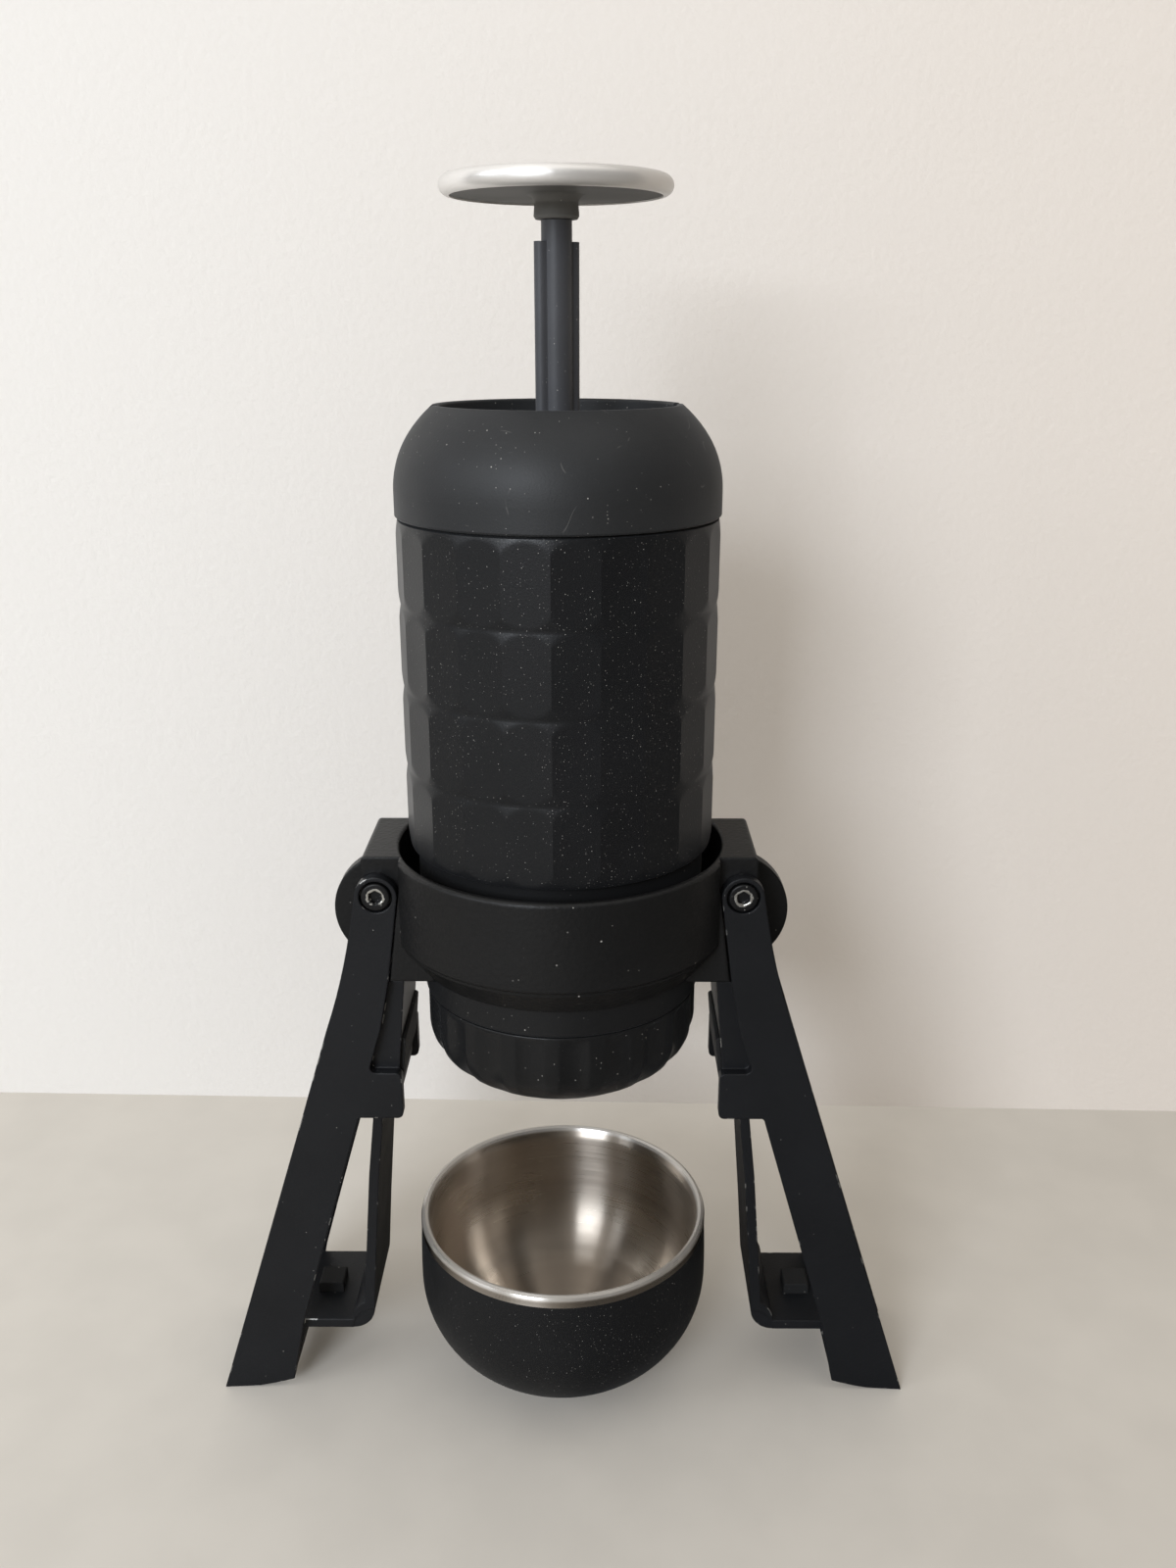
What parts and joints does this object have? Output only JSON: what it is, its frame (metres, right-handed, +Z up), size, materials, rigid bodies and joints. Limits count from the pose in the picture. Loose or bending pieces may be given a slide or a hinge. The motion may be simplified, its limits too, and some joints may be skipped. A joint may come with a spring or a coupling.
{
  "type": "handheld manual espresso maker",
  "caption": "Hand-pumped espresso maker standing in a ring with folding legs, with a domed cover, push knob, fluted outlet cap and a steel-lined cup below.",
  "frame": {"origin": "on the table under the brewer's axis, midway between the feet", "axes": "+Z up along the brewer's axis, +X to the right foot, front towards -Y"},
  "size_m": [0.187, 0.0852, 0.3093],
  "materials": {
    "knob_alloy": "brushed aluminium disc with a rolled rim",
    "stem_black": "black moulded nylon, slightly satin",
    "soft_black": "soft-touch black coating with light scuffs",
    "body_black": "soft-touch black coating with pale dust",
    "ring_black": "fine-textured black moulding, worn on its edges",
    "inner_plastic": "plain moulded nylon",
    "silicone": "smooth silicone rubber",
    "rubber_black": "matte black rubber",
    "leg_paint": "black powder coat, chipped along its edges",
    "screw_steel": "blackened steel with bare worn edges",
    "inner_steel": "plain stainless steel",
    "cup_steel": "spun stainless steel, polished at the rim",
    "cup_coat": "black powder coat with pale rubbed dust"
  },
  "bodies": {
    "stand": {"stand_ring": "ring_black", "left_pivot_barrel": "screw_steel", "left_pivot_screws": "screw_steel", "right_pivot_barrel": "screw_steel", "right_pivot_screws": "screw_steel"},
    "left_leg": {"left_leg": "leg_paint", "left_leg_pad": "rubber_black", "left_shelf_block": "rubber_black"},
    "right_leg": {"right_leg": "leg_paint", "right_leg_pad": "rubber_black", "right_shelf_block": "rubber_black"},
    "brewer": {"body_shell": "body_black", "tank_liner": "inner_steel", "brew_head": "ring_black", "valve_seat": "inner_plastic", "valve_spring": "inner_steel", "shower_screen": "inner_steel", "basket_gasket": "silicone"},
    "cover": {"dome_cover": "soft_black", "stem_bush": "inner_plastic", "pump_cylinder": "inner_plastic", "cylinder_screws": "screw_steel", "inlet_flap": "silicone", "cover_seal": "silicone"},
    "plunger": {"knob_cap": "knob_alloy", "knob_base": "stem_black", "plunger_stem": "stem_black", "piston": "inner_plastic", "piston_seals": "silicone", "piston_screw": "screw_steel"},
    "check_ball": {"valve_ball": "inner_steel"},
    "coffee_cap": {"outlet_cap": "soft_black", "spout_insert": "inner_plastic", "filter_basket": "inner_steel"},
    "cup": {"cup_shell": "cup_coat", "cup_liner": "cup_steel"}
  },
  "joints": [
    {"name": "left_leg_fold", "type": "hinge", "parent": "stand", "child": "left_leg", "pos_m": [-0.0446, 0, 0.1475], "axis": [0, 1, 0], "range_deg": [0, 162]},
    {"name": "right_leg_fold", "type": "hinge", "parent": "stand", "child": "right_leg", "pos_m": [0.0446, 0, 0.1475], "axis": [0, -1, 0], "range_deg": [0, 162]},
    {"name": "brewer_lift", "type": "slide", "parent": "stand", "child": "brewer", "axis": [0, 0, 1], "range_m": [0, 0.062]},
    {"name": "cover_twist", "type": "hinge", "parent": "brewer", "child": "cover", "pos_m": [0, 0, 0.2356], "axis": [0, 0, 1], "range_deg": [0, 90]},
    {"name": "plunger_stroke", "type": "slide", "parent": "cover", "child": "plunger", "axis": [0, 0, 1], "range_m": [-0.047, 0]},
    {"name": "check_ball_lift", "type": "slide", "parent": "brewer", "child": "check_ball", "axis": [0, 0, 1], "range_m": [-0.002, 0], "stiffness_N_per_m": 100, "springref_m": 0.002, "deforming": ["valve_spring"]},
    {"name": "cap_twist", "type": "hinge", "parent": "brewer", "child": "coffee_cap", "pos_m": [0, 0, 0.1188], "axis": [0, 0, -1], "range_deg": [0, 90]},
    {"name": "cup_out", "type": "slide", "parent": "stand", "child": "cup", "axis": [0, -1, 0], "range_m": [0, 0.12]}
  ]
}
